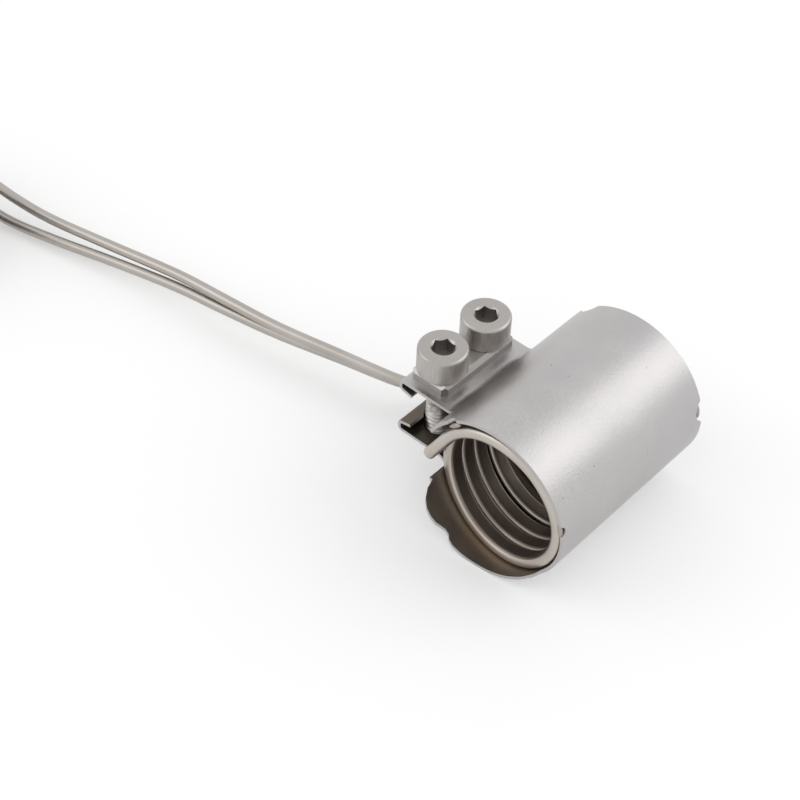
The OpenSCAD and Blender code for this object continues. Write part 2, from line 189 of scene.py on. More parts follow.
def outwards(piece):
    """Joins points that coincide and turns all faces outwards."""
    edit(piece)
    bpy.ops.mesh.select_all(action="SELECT")
    bpy.ops.mesh.remove_doubles(threshold=MERGE_DISTANCE)
    bpy.ops.mesh.normals_make_consistent(inside=False)
    close_edit()


def finish_piece(piece, material, body, slot, *nodes):
    """Gives a piece its finish, and lets it ride and stand for its CAD nodes."""
    piece.data.materials.clear()
    piece.data.materials.append(material)
    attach(piece, body)
    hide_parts(*nodes)


def copy_of_node(node, name, bevel, segments=2, sharp=35.0):
    """A copy of a CAD node with its edges broken, as a new piece."""
    piece = bpy.data.objects.new(name, frame["nodes"][node].data.copy())
    SCENE.collection.objects.link(piece)
    pick(piece)
    if piece.data.has_custom_normals:
        bpy.ops.mesh.customdata_custom_splitnormals_clear()
    edit(piece)
    bpy.ops.mesh.select_all(action="SELECT")
    bpy.ops.mesh.remove_doubles(threshold=MERGE_DISTANCE)
    bpy.ops.mesh.dissolve_limited(angle_limit=math.radians(COPLANAR_DEGREES))
    close_edit()
    add_modifier(
        piece, "BEVEL", width=bevel * MM, segments=segments, limit_method="ANGLE",
        angle_limit=math.radians(sharp), use_clamp_overlap=True,
    )
    smooth(piece)
    return piece


def poly_curve(name, points, cyclic=False):
    """A curve through points in millimetres."""
    curve = bpy.data.curves.new(name, "CURVE")
    curve.dimensions = "3D"
    spline = curve.splines.new("POLY")
    spline.points.add(len(points) - 1)
    for made, place in zip(spline.points, points):
        made.co = (place[0] * MM, place[1] * MM, place[2] * MM, 1.0)
    spline.use_cyclic_u = cyclic
    piece = bpy.data.objects.new(name, curve)
    SCENE.collection.objects.link(piece)
    return piece


def cut_flat(piece, place, normal):
    """Cuts away what lies on the normal's side of a plane, and closes the cut."""
    edit(piece)
    bpy.ops.mesh.select_all(action="SELECT")
    bpy.ops.mesh.bisect(
        plane_co=place, plane_no=normal, use_fill=True, clear_outer=True, threshold=CUT_TOLERANCE
    )
    close_edit()


# Node groups and finishes


def new_group(name, inputs, outputs):
    """A shader node group with named inputs and outputs."""
    group = bpy.data.node_groups.new(name, "ShaderNodeTree")
    for label, kind, default in inputs:
        made = group.interface.new_socket(name=label, in_out="INPUT", socket_type=kind)
        made.default_value = default
    for label, kind in outputs:
        group.interface.new_socket(name=label, in_out="OUTPUT", socket_type=kind)
    return group, group.nodes.new("NodeGroupInput"), group.nodes.new("NodeGroupOutput")


def grain_group():
    """Blasted or rolled grain: roughness, height and a tone that vary over the surface."""
    group, given, result = new_group(
        "Metal grain",
        [
            ("Vector", "NodeSocketVector", (0.0, 0.0, 0.0)),
            ("Grain scale", "NodeSocketFloat", 9000.0),
            ("Cloud scale", "NodeSocketFloat", 90.0),
            ("Roughness", "NodeSocketFloat", 0.4),
            ("Roughness spread", "NodeSocketFloat", 0.08),
            ("Tone spread", "NodeSocketFloat", 0.05),
        ],
        [
            ("Roughness", "NodeSocketFloat"),
            ("Height", "NodeSocketFloat"),
            ("Tone", "NodeSocketFloat"),
            ("Specks", "NodeSocketFloat"),
        ],
    )
    nodes, link = group.nodes, group.links.new
    dots = nodes.new("ShaderNodeTexVoronoi")
    dots.inputs["Scale"].default_value = 300.0
    link(given.outputs["Vector"], dots.inputs["Vector"])
    dot = nodes.new("ShaderNodeMapRange")
    dot.inputs["From Min"].default_value = 0.045
    dot.inputs["From Max"].default_value = 0.02
    link(dots.outputs["Distance"], dot.inputs["Value"])
    link(dot.outputs["Result"], result.inputs["Specks"])
    fine = nodes.new("ShaderNodeTexNoise")
    fine.inputs["Detail"].default_value = 3.0
    cloud = nodes.new("ShaderNodeTexNoise")
    cloud.inputs["Detail"].default_value = 5.0
    cloud.inputs["Roughness"].default_value = 0.6
    link(given.outputs["Vector"], fine.inputs["Vector"])
    link(given.outputs["Vector"], cloud.inputs["Vector"])
    link(given.outputs["Grain scale"], fine.inputs["Scale"])
    link(given.outputs["Cloud scale"], cloud.inputs["Scale"])
    fine_share = 0.8
    both = nodes.new("ShaderNodeMath")
    both.operation = "MULTIPLY_ADD"
    both.inputs[1].default_value = fine_share
    link(fine.outputs["Fac"], both.inputs[0])
    link(cloud.outputs["Fac"], both.inputs[2])
    centred = nodes.new("ShaderNodeMath")
    centred.operation = "SUBTRACT"
    centred.inputs[1].default_value = (1.0 + fine_share) / 2
    link(both.outputs[0], centred.inputs[0])
    rough = nodes.new("ShaderNodeMath")
    rough.operation = "MULTIPLY_ADD"
    link(centred.outputs[0], rough.inputs[0])
    link(given.outputs["Roughness spread"], rough.inputs[1])
    link(given.outputs["Roughness"], rough.inputs[2])
    tone = nodes.new("ShaderNodeMath")
    tone.operation = "MULTIPLY_ADD"
    tone.inputs[2].default_value = 1.0
    link(centred.outputs[0], tone.inputs[0])
    link(given.outputs["Tone spread"], tone.inputs[1])
    link(rough.outputs[0], result.inputs["Roughness"])
    link(fine.outputs["Fac"], result.inputs["Height"])
    link(tone.outputs[0], result.inputs["Tone"])
    return group


def stain_and_light_group():
    """A broken, soft-edged mask round a place, for heat tint and dirt, and for painted shade and
    painted light.
    """
    group, given, result = new_group(
        "Stain and painted light",
        [
            ("Vector", "NodeSocketVector", (0.0, 0.0, 0.0)),
            ("Centre", "NodeSocketVector", (0.0, 0.0, 0.0)),
            ("Stretch", "NodeSocketVector", (1.0, 1.0, 1.0)),
            ("Reach", "NodeSocketFloat", 0.005),
            ("Strength", "NodeSocketFloat", 1.0),
        ],
        [("Mask", "NodeSocketFloat")],
    )
    nodes, link = group.nodes, group.links.new
    away = nodes.new("ShaderNodeVectorMath")
    away.operation = "SUBTRACT"
    link(given.outputs["Vector"], away.inputs[0])
    link(given.outputs["Centre"], away.inputs[1])
    scaled = nodes.new("ShaderNodeVectorMath")
    scaled.operation = "MULTIPLY"
    link(away.outputs["Vector"], scaled.inputs[0])
    link(given.outputs["Stretch"], scaled.inputs[1])
    distance = nodes.new("ShaderNodeVectorMath")
    distance.operation = "LENGTH"
    link(scaled.outputs["Vector"], distance.inputs[0])
    fade = nodes.new("ShaderNodeMapRange")
    fade.interpolation_type = "SMOOTHSTEP"
    fade.inputs["From Max"].default_value = 0.0
    link(distance.outputs["Value"], fade.inputs["Value"])
    link(given.outputs["Reach"], fade.inputs["From Min"])
    cloud = nodes.new("ShaderNodeTexNoise")
    cloud.inputs["Scale"].default_value = 260.0
    cloud.inputs["Detail"].default_value = 4.0
    link(given.outputs["Vector"], cloud.inputs["Vector"])
    broken = nodes.new("ShaderNodeMapRange")
    broken.inputs["From Min"].default_value = 0.3
    broken.inputs["From Max"].default_value = 0.6
    broken.inputs["To Min"].default_value = 0.55
    link(cloud.outputs["Fac"], broken.inputs["Value"])
    both = nodes.new("ShaderNodeMath")
    both.operation = "MULTIPLY"
    link(fade.outputs["Result"], both.inputs[0])
    link(broken.outputs["Result"], both.inputs[1])
    strong = nodes.new("ShaderNodeMath")
    strong.operation = "MULTIPLY"
    strong.use_clamp = True
    link(both.outputs[0], strong.inputs[0])
    link(given.outputs["Strength"], strong.inputs[1])
    link(strong.outputs[0], result.inputs["Mask"])
    return group


def new_material(name):
    """An empty material with its shader, and the nodes and links to build on."""
    material = bpy.data.materials.new(name)
    material.use_nodes = True
    return material, material.node_tree.nodes, material.node_tree.links.new


def mix_colour(nodes, link, factor, first, second):
    """A colour mixed towards a second one by a mask."""
    mixed = nodes.new("ShaderNodeMix")
    mixed.data_type = "RGBA"
    link(factor, mixed.inputs["Factor"])
    link(first, mixed.inputs["A"])
    mixed.inputs["B"].default_value = (*second, 1.0)
    return mixed.outputs["Result"]


def seen_rays(nodes, link):
    """One for camera, glossy and transmission rays, and nothing for the others."""
    path = nodes.new("ShaderNodeLightPath")
    seen = path.outputs["Is Camera Ray"]
    for kind in ("Is Glossy Ray", "Is Transmission Ray"):
        either = nodes.new("ShaderNodeMath")
        either.operation = "MAXIMUM"
        link(seen, either.inputs[0])
        link(path.outputs[kind], either.inputs[1])
        seen = either.outputs[0]
    return seen


def metal(name, tint, groups, stretch=(1.0, 1.0, 1.0), roughness=0.4, spread=0.1, tone=0.08,
          bump=0.06, grain_scale=9000.0, cloud_scale=90.0, tint_to=None, stains_and_light=(), specks=0.0):
    """A metal with grain, small colour changes, a second tint in clouds, and patches of heat tint,
    dirt, painted shade and painted light in places.
    """
    material, nodes, link = new_material(name)
    shader = nodes["Principled BSDF"]
    shader.inputs["Metallic"].default_value = 1.0
    place = nodes.new("ShaderNodeTexCoord")
    turn = nodes.new("ShaderNodeMapping")
    turn.inputs["Scale"].default_value = stretch
    link(place.outputs["Object"], turn.inputs["Vector"])
    group = nodes.new("ShaderNodeGroup")
    group.node_tree = groups["grain"]
    group.inputs["Grain scale"].default_value = grain_scale
    group.inputs["Cloud scale"].default_value = cloud_scale
    group.inputs["Roughness"].default_value = roughness
    group.inputs["Roughness spread"].default_value = spread
    group.inputs["Tone spread"].default_value = tone
    link(turn.outputs["Vector"], group.inputs["Vector"])
    mixed = nodes.new("ShaderNodeMix")
    mixed.data_type = "RGBA"
    mixed.blend_type = "MULTIPLY"
    mixed.inputs["Factor"].default_value = 1.0
    mixed.inputs["A"].default_value = (*tint, 1.0)
    link(group.outputs["Tone"], mixed.inputs["B"])
    colour_out = mixed.outputs["Result"]
    if tint_to is not None:
        spots = nodes.new("ShaderNodeTexNoise")
        spots.inputs["Scale"].default_value = 110.0
        spots.inputs["Detail"].default_value = 4.0
        link(place.outputs["Object"], spots.inputs["Vector"])
        ramp = nodes.new("ShaderNodeMapRange")
        ramp.inputs["From Min"].default_value = 0.35
        ramp.inputs["From Max"].default_value = 0.7
        link(spots.outputs["Fac"], ramp.inputs["Value"])
        colour_out = mix_colour(nodes, link, ramp.outputs["Result"], colour_out, tint_to)
    for centre, mark_stretch, reach, strength, mark_colour in stains_and_light:
        stain_and_light = nodes.new("ShaderNodeGroup")
        stain_and_light.node_tree = groups["stain_and_light"]
        stain_and_light.inputs["Centre"].default_value = [v * MM for v in centre]
        stain_and_light.inputs["Stretch"].default_value = mark_stretch
        stain_and_light.inputs["Reach"].default_value = reach * MM
        stain_and_light.inputs["Strength"].default_value = strength
        link(place.outputs["Object"], stain_and_light.inputs["Vector"])
        colour_out = mix_colour(nodes, link, stain_and_light.outputs["Mask"], colour_out, mark_colour)
    if specks:
        faint = nodes.new("ShaderNodeMath")
        faint.operation = "MULTIPLY"
        faint.inputs[1].default_value = specks
        link(group.outputs["Specks"], faint.inputs[0])
        speck_tint = [v * SPECK_TONE for v in tint]
        colour_out = mix_colour(nodes, link, faint.outputs[0], colour_out, speck_tint)
    link(colour_out, shader.inputs["Base Color"])
    link(group.outputs["Roughness"], shader.inputs["Roughness"])
    raised = nodes.new("ShaderNodeBump")
    raised.inputs["Strength"].default_value = bump
    raised.inputs["Distance"].default_value = 0.06 * MM
    link(group.outputs["Height"], raised.inputs["Height"])
    link(raised.outputs["Normal"], shader.inputs["Normal"])
    return material


def plain(name, tint, groups, roughness, **values):
    """A plastic or woven finish with a fine texture."""
    material = metal(name, tint, groups, roughness=roughness, **values)
    material.node_tree.nodes["Principled BSDF"].inputs["Metallic"].default_value = 0.0
    return material


def finishes():
    """All finishes of the part, made once and kept by name."""
    if "Sheath steel" in bpy.data.materials:
        return bpy.data.materials
    c = SCENE.heater_colours
    g = {"grain": grain_group(), "stain_and_light": stain_and_light_group()}
    # The first and last of these tones give painted shade: on the hardware's faces towards the
    # sheath, and in the screws' sockets.
    side_tone, screw_side_tone, socket_shade_tone = 0.5, 1.1, 0.75
    bend_smudge = ((-9.0, 9.0, 9.5), (1.0, 0.35, 1.0), 5.5, 0.45, (0.34, 0.29, 0.25))
    ear_smudge = ((-12.5, 2.5, 8.0), (1.0, 1.0, 1.0), 4.0, 0.4, (0.30, 0.25, 0.21))
    # Painted shade: the sheath's lower right side is darkened to a purple grey, standing for the
    # shadowed floor it reflects.
    low_painted_shade = ((9.0, 4.0, -8.0), (1.0, 0.6, 1.0), 7.0, 0.4, (0.38, 0.36, 0.375))
    metal("Sheath steel", c.sheath, g, roughness=0.4, spread=0.25, tone=0.45, bump=0.5,
          grain_scale=3200.0, tint_to=(0.475, 0.46, 0.465),
          stains_and_light=(bend_smudge, ear_smudge, low_painted_shade), specks=0.7)
    coil_glow = ((0.0, 2.0, -12.0), (0.6, 1.0, 1.0), 5.5, 0.8, c.heat)
    # Heat tint on the sheath's inward faces, darkened further as painted shade.
    metal("Sheath inside", c.sheath_inside, g, roughness=0.44, tone=0.4, bump=0.1,
          cloud_scale=220.0, tint_to=(0.30, 0.25, 0.20), stains_and_light=(coil_glow,), specks=0.5)
    # Painted shade for the faces under and between the ears and inside the hooks.
    metal("Ear painted shade", c.ear_painted_shade, g, roughness=0.44, tone=0.4, bump=0.2, cloud_scale=220.0,
          tint_to=(0.14, 0.112, 0.085))
    # Painted shade: the plate's and bar's faces towards the sheath are painted at half the hardware
    # colour.
    metal("Hardware painted shade", [v * side_tone for v in c.hardware], g, roughness=0.38, tone=0.4,
          bump=0.2)
    # Painted light: the bore faces are painted lighter towards the rear, where light comes in at
    # the rear opening.
    rear_turns = ((0.0, 31.0, 0.0), (0.0, 1.0, 0.0), 16.0, 1.0, (0.42, 0.38, 0.35))
    rear_tint = ((0.0, 31.0, 6.0), (0.7, 1.0, 0.7), 9.0, 0.8, c.heat)
    metal("Element steel", c.element, g, roughness=0.36, tone=0.3, bump=0.25,
          tint_to=(0.48, 0.435, 0.39), grain_scale=7000.0)
    # Oxide on the bore faces, with painted shade; the rear_turns mark on them is painted light.
    metal("Element bore", c.element_bore, g, roughness=0.42, tone=0.5, bump=0.35,
          tint_to=(0.24, 0.20, 0.17), grain_scale=7000.0, cloud_scale=200.0,
          stains_and_light=(rear_turns, rear_tint), specks=0.5)
    metal("Hardware steel", c.hardware, g, roughness=0.34, tone=0.3, bump=0.3, grain_scale=5000.0,
          tint_to=(0.41, 0.39, 0.37), specks=0.4)
    metal("Screw steel", c.screws, g, roughness=0.36, tone=0.3, bump=0.35, grain_scale=4500.0,
          specks=0.4)
    metal("Screw side", [v * screw_side_tone for v in c.screws], g, stretch=(1.0, 1.0, 0.12),
          roughness=0.36, tone=0.45, bump=0.4, grain_scale=5000.0)
    # Painted shade: the sockets' insides are painted darker than the rest of the screw.
    metal("Screw socket painted shade", [v * socket_shade_tone for v in c.screws], g, roughness=0.42, tone=0.3)
    metal("Weld metal", c.welds, g, roughness=0.45, tone=0.5, bump=0.4,
          tint_to=(0.42, 0.38, 0.34), grain_scale=4000.0)
    metal("Lead steel", c.leads, g, roughness=0.34, tone=0.25, bump=0.08, cloud_scale=140.0,
          tint_to=(0.42, 0.385, 0.35))
    metal("Ferrule tin", c.ferrules, g, roughness=0.3, tone=0.1, bump=0.05)
    plain("Tie plastic", c.ties, g, roughness=0.5, bump=0.1, grain_scale=4000.0)
    plain("Wire sleeving", c.wires, g, roughness=0.85, tone=0.4, bump=0.6, grain_scale=2500.0,
          cloud_scale=900.0)
    return bpy.data.materials


# Routes of the leads, in millimetres, as the CAD model has them

HANK_CENTRE = Vector((-115.0, -15.5, 0.0))
HANK_OUTER = 12.85
HANK_COLUMNS = 4
LOWER_ROWS = range(3, -1, -1)
UPPER_ROWS = range(4, 8)
LOWEST_ROW_Z = -10.65
ROW_HEIGHT = 1.75
ROW_CHANGE_SWELL = 0.6
ROUTE_STEPS = 4
UPPER_ROUTE = [
    (-15.3, 28, -6.2), (-18.2, 26.8, -6.2), (-20.4, 23.4, -6.1), (-21.8, 19.4, -5.9),
    (-23.6, 15.6, -5.7), (-27.2, 12.9, -5.6), (-32, 11.8, -5.8), (-38.4, 10.7, -6),
    (-49.8, 8.9, -6.6), (-60, 8.1, -7.1), (-70.4, 7.3, -7.6), (-84, 5.1, -8.3),
    (-96, 3, -8.6), (-103.6, 1.5, -7.4), (-109.9, -0.9, -3.9), (-115, -2.65, -3.65),
]
LOWER_ROUTE = [
    (-15.3, 30, -6.6), (-18.9, 28.6, -6.9), (-21.6, 24.8, -7.1), (-23, 20.6, -7.2),
    (-24.8, 16.6, -7.2), (-28.4, 13.8, -7.2), (-33, 12.6, -7.4), (-38.4, 11.6, -7.7),
    (-49.8, 9.3, -8.4), (-60, 7.8, -8.9), (-69.8, 6.5, -9.3), (-82, 4, -9.9),
    (-94, 1.2, -10.5), (-103.2, -0.8, -10.4), (-109.2, -2.2, -8), (-115, -2.65, -5.4),
]
WINDING_START = 90.0
SHIFT_ANGLE = 60.0
LOWER_END_ANGLE = 270.0
UPPER_END_ANGLE = 215.0
UPPER_RISE_ANGLE = 172.0
UPPER_TURN_RADIUS = 6.87
UPPER_END = Vector((-118.2, -25.8, 3.9))
LOWER_END = Vector((-107.3, -28.35, -10.5))
INTO_SLEEVE = Vector((1.9, 0.0, 0.0))


def ease(share):
    """A soft rise from nothing to one."""
    share = min(max(share, 0.0), 1.0)
    return (1.0 - math.cos(math.pi * share)) / 2.0


def smooth_route(points, steps):
    """Points on one smooth curve through the route's own points."""
    places = [Vector(p) for p in points]
    last = len(places) - 1
    found = []
    for i in range(last):
        a, b = places[max(i - 1, 0)], places[i]
        c, d = places[i + 1], places[min(i + 2, last)]
        for k in range(steps):
            u = k / steps
            found.append(
                0.5 * (
                    2 * b + (c - a) * u + (2 * a - 5 * b + 4 * c - d) * u * u
                    + (3 * b - a - 3 * c + d) * u ** 3
                )
            )
    return found + [places[last]]


def winding(rows, end_angle, rise_from=None, rise_to=None):
    """Points of the put away turns: each row wound across all columns, and back in the next."""
    s = SCENE.heater_sizes
    slots = []
    for count, row in enumerate(rows):
        columns = range(HANK_COLUMNS)
        slots += [(c, row) for c in (reversed(columns) if count % 2 == 0 else columns)]
    middle = (HANK_COLUMNS - 1) / 2
    radii = [HANK_OUTER - (HANK_COLUMNS - 1 - c) * s.lead_pitch for c, _ in slots]
    heights = [LOWEST_ROW_Z + row * ROW_HEIGHT for _, row in slots]
    found = []
    degrees_a_step = 10
    for k in range(len(slots)):
        before = max(k - 1, 0)
        changes_row = heights[k] != heights[before]
        outside = slots[k][0] > middle
        turned = end_angle - WINDING_START if k == len(slots) - 1 else 360.0 - degrees_a_step
        for step in range(int(turned / degrees_a_step) + 1):
            angle = step * degrees_a_step
            share = ease(angle / SHIFT_ANGLE)
            radius = radii[before] + (radii[k] - radii[before]) * share
            height = heights[before] + (heights[k] - heights[before]) * share
            if changes_row:
                swell = ROW_CHANGE_SWELL * s.lead_pitch * math.sin(math.pi * share)
                radius += swell if outside else -swell
            a = WINDING_START + angle
            if rise_from is not None and k == len(slots) - 1:
                height += (rise_to - heights[k]) * ease((a - rise_from) / (end_angle - rise_from))
            a = math.radians(a)
            found.append(
                HANK_CENTRE + Vector((radius * math.cos(a), radius * math.sin(a), height))
            )
    return found


def lead_curve(name, points):
    """A round lead along points."""
    piece = poly_curve(name, points)
    piece.data.bevel_depth = SCENE.heater_sizes.lead_diameter / 2 * MM
    piece.data.bevel_resolution = 4
    piece.data.use_fill_caps = True
    return piece


# Operators, one for each piece or group of like pieces


class HEATER_OT_camera(bpy.types.Operator):
    """Places the camera at the photograph's angle"""

    bl_idname = "heater.camera"
    bl_label = "Camera"

    # Angles in degrees, places and distances in millimetres
    azimuth = 40.6
    elevation = 45.5
    roll = 2.3
    aim = Vector((0.0, 15.5, 0.0))
    distance = 250.0
    shift_right = -22.9
    shift_up = 5.55
    sensor = 36.0
    focal_pixels = 1803.5
    picture_pixels = 800.0

    def execute(self, context):
        azimuth, elevation = math.radians(self.azimuth), math.radians(self.elevation)
        roll = math.radians(self.roll)
        back = Vector((
            math.sin(azimuth) * math.cos(elevation),
            -math.cos(azimuth) * math.cos(elevation),
            math.sin(elevation),
        ))
        level = Vector((math.cos(azimuth), math.sin(azimuth), 0.0))
        upright = back.cross(level)
        right = level * math.cos(roll) + upright * math.sin(roll)
        up = upright * math.cos(roll) - level * math.sin(roll)
        place = self.aim + back * self.distance + right * self.shift_right + up * self.shift_up
        bpy.ops.object.camera_add()
        camera = context.object
        camera.name = "Camera"
        camera.data.sensor_width = self.sensor
        camera.data.lens = self.focal_pixels / self.picture_pixels * self.sensor
        turned = Matrix((right, up, back)).transposed().to_4x4()
        camera.matrix_world = Matrix.Translation(place * MM) @ turned
        camera.data.clip_start = 0.01
        camera.data.clip_end = 20.0
        SCENE.camera = camera
        return {"FINISHED"}


class HEATER_OT_leads(bpy.types.Operator):
    """Lays both leads and winds up the length that isn't laid out"""

    bl_idname = "heater.leads"
    bl_label = "Leads"

    def upper_points(self):
        """The upper lead leaves its turns over the top and ends on them."""
        points = smooth_route(UPPER_ROUTE, ROUTE_STEPS)[:-1] + winding(
            UPPER_ROWS, UPPER_END_ANGLE, UPPER_RISE_ANGLE, UPPER_END.z
        )
        heading = math.radians(UPPER_END_ANGLE + 90.0)
        aside = Vector((-math.sin(heading), math.cos(heading), 0.0))
        centre = points[-1] + UPPER_TURN_RADIUS * aside
        steps = 6
        for k in range(1, steps + 1):
            a = heading + (2 * math.pi - heading) * k / steps
            points.append(centre + UPPER_TURN_RADIUS * Vector((math.sin(a), -math.cos(a), 0.0)))
        points[-1].y = UPPER_END.y
        return points + [UPPER_END + INTO_SLEEVE]

    def lower_points(self):
        """The lower lead leaves its turns along the floor."""
        points = smooth_route(LOWER_ROUTE, ROUTE_STEPS)[:-1] + winding(LOWER_ROWS, LOWER_END_ANGLE)
        return points + [LOWER_END, LOWER_END + INTO_SLEEVE]

    def execute(self, context):
        steel = finishes()["Lead steel"]
        for side, points, tie in (("upper", self.upper_points(), "left_strap"),
                                  ("lower", self.lower_points(), "right_strap")):
            piece = lead_curve(side + "_lead_wound", points)
            finish_piece(piece, steel, "heater", "lead_steel", side + "_lead", side + "_lead_coil")
        return {"FINISHED"}


class HEATER_OT_element(bpy.types.Operator):
    """Winds the flat element and closes its end"""

    bl_idname = "heater.element"
    bl_label = "Element"

    # Angles in degrees, shares of one turn, lengths and corner radii in millimetres
    start_angle = 150.0
    steps_a_turn = 96
    climb_share = 0.5
    gap_share = 0.4
    rear_part_turn = 0.5
    tail_knee = 1.0
    corners = ((1, 1, 0.75), (-1, 1, 0.7), (-1, -1, 0.35), (1, -1, 0.42))
    steps_a_corner = 4
    cap_steps = 8
    cap_step_degrees = 10.0
    cap_end_scale = 0.45
    bore_facing = 0.8

    def lay(self, turns):
        """Place of the element's middle along the bore after some turns."""
        s = SCENE.heater_sizes
        pitch = s.element_width + s.turn_gap
        open_at = s.front_turns * pitch + s.last_gap
        shut_at = s.body_length - s.element_width - s.rear_turns * pitch
        rear_start = s.front_turns + s.open_turns

        def climb(t):
            past = t - math.floor(t) - (1.0 - self.climb_share)
            return math.floor(t) + ease(past / self.climb_share)

        if turns < s.front_turns:
            into_last = (turns - s.front_turns + 1) / self.gap_share
            done = pitch * climb(turns) + s.last_gap * ease(into_last)
        elif turns < rear_start:
            done = open_at + (shut_at - open_at) * (turns - s.front_turns) / s.open_turns
        else:
            done = shut_at + pitch * climb(turns - rear_start)
        return s.element_width / 2 + done

    def section(self):
        """Outline of the element, with rounded corners."""
        s = SCENE.heater_sizes
        u, v = s.element_thickness / 2, s.element_width / 2
        points = []
        for corner, (sx, sy, r) in enumerate(self.corners):
            for k in range(self.steps_a_corner + 1):
                a = math.radians(90.0 * (corner + k / self.steps_a_corner))
                points.append((sx * (u - r) + r * math.cos(a), sy * (v - r) + r * math.sin(a), 0.0))
        return points

    def sweep(self, name, points, outline, scales=None):
        """A solid with the outline swept along points, its axis along the bore."""
        path = poly_curve(name, points)
        path.data.twist_mode = "Z_UP"
        path.data.bevel_mode = "OBJECT"
        path.data.bevel_object = outline
        path.data.use_fill_caps = True
        if scales:
            for made, scale in zip(path.data.splines[0].points, scales):
                made.radius = scale
        pick(path)
        bpy.ops.object.convert(target="MESH")
        made = bpy.context.object
        made.rotation_euler = (math.radians(90.0), 0.0, 0.0)
        apply_place(made)
        outwards(made)
        smooth(made, angle=40.0)
        return made

    def execute(self, context):
        s = SCENE.heater_sizes
        radius = s.bore_radius + s.element_thickness / 2
        all_turns = s.front_turns + s.open_turns + s.rear_turns + self.rear_part_turn

        def tail(angle, direction, distance, along):
            a = math.radians(angle)
            d = math.radians(angle + direction)
            return (
                radius * math.cos(a) + distance * math.cos(d),
                radius * math.sin(a) + distance * math.sin(d),
                -along,
            )

        front_y, rear_y = self.lay(0.0), self.lay(all_turns)
        end_angle = self.start_angle - 360.0 * all_turns
        points = [tail(self.start_angle, 90, s.front_tail, front_y)]
        points += [tail(self.start_angle, 90, self.tail_knee, front_y)]
        for i in range(round(self.steps_a_turn * all_turns) + 1):
            t = i / self.steps_a_turn
            points.append(tail(self.start_angle - 360.0 * t, 0, 0, self.lay(t)))
        points += [tail(end_angle, -90, self.tail_knee, rear_y)]
        points += [tail(end_angle, -90, s.rear_tail, rear_y)]
        outline = poly_curve("Element outline", self.section(), cyclic=True)
        outline.data.dimensions = "2D"
        coil = self.sweep("element_winding", points, outline)
        steel = finishes()["Element steel"]
        finish_piece(coil, steel, "heater", "element_steel", "heater_coil")
        coil.data.materials.append(finishes()["Element bore"])
        # Faces towards the bore get the darker bore finish: oxide with painted shade.
        for face in coil.data.polygons:
            c, n = face.center, face.normal
            distance = math.hypot(c.x, c.z)
            if (n.x * c.x + n.z * c.z) / distance < -self.bore_facing:
                face.material_index = 1
        cap_points, scales = [], []
        for k in range(self.cap_steps + 1):
            b = math.radians(self.cap_step_degrees * k)
            cap_points.append(
                tail(self.start_angle, 90, s.front_tail + s.cap_length * math.sin(b), front_y)
            )
            scales.append(self.cap_end_scale + (1.0 - self.cap_end_scale) * math.cos(b))
        cap = self.sweep("element_blunt_end", cap_points, outline, scales)
        finish_piece(cap, steel, "heater", "element_steel", "element_end_cap")
        bpy.data.objects.remove(outline)
        return {"FINISHED"}


class HEATER_OT_sheath(bpy.types.Operator):
    """Breaks the sheath's edges, gives its inside heat tint with painted shade, and paints shade
    under and between the ears.
    """

    bl_idname = "heater.sheath"
    bl_label = "Clamp sheath"

    # Places in millimetres; a face counts as facing a way by its normal's share of it
    edge_bevel = 0.08
    bore_wall = 12.1
    ears_from = -10.5
    upper_ear_z = 6.9
    hooks_from = -19.0
    facing = 0.5
    hook_facing = 0.7

    def execute(self, context):
        made = finishes()
        sheath = copy_of_node("clamp_sheath", "rolled_sheath", self.edge_bevel)
        finish_piece(sheath, made["Sheath steel"], "heater", "sheath_steel", "clamp_sheath")
        sheath.data.materials.append(made["Sheath inside"])
        sheath.data.materials.append(made["Ear painted shade"])
        for face in sheath.data.polygons:
            c, n = face.center / MM, face.normal
            distance = math.hypot(c.x, c.z)
            faces_in = (n.x * c.x + n.z * c.z) / distance < -self.facing
            in_bore = faces_in and distance < self.bore_wall
            on_ears = c.x < self.ears_from
            under_upper_ear = on_ears and 0.0 < c.z < self.upper_ear_z and n.z < -self.facing
            on_lower_ear = on_ears and c.z < 0.0 and n.z > self.facing
            in_hook = c.x < self.hooks_from and n.x > self.hook_facing
            # Inward faces of the bore get the heat tint with painted shade.
            if in_bore:
                face.material_index = 1
            # Faces under and between the ears and inside the hooks get painted shade.
            elif under_upper_ear or on_lower_ear or in_hook:
                face.material_index = 2
        return {"FINISHED"}


class HEATER_OT_hardware(bpy.types.Operator):
    """Finishes the clamp plate, the threaded bar and the outlet sleeve, with painted shade on the
    plate's and bar's faces that turn towards the sheath.
    """

    bl_idname = "heater.hardware"
    bl_label = "Plate, bar and outlet sleeve"

    side_facing = 0.4

    def execute(self, context):
        made = finishes()
        for node, name, bevel, slot, steel in (
            ("upper_clamp_plate", "clamp_plate", 0.12, "plate_steel", "Hardware steel"),
            ("lower_threaded_bar", "threaded_bar", 0.12, "plate_steel", "Hardware steel"),
            ("outlet_sleeve", "pressed_outlet_sleeve", 0.6, "sleeve_steel", "Lead steel"),
        ):
            piece = copy_of_node(node, name, bevel, segments=3)
            finish_piece(piece, made[steel], "heater", slot, node)
            if slot == "plate_steel":
                piece.data.materials.append(made["Hardware painted shade"])
                # Faces that turn towards the sheath get painted shade.
                for face in piece.data.polygons:
                    face.material_index = int(face.normal.x > self.side_facing)
        return {"FINISHED"}


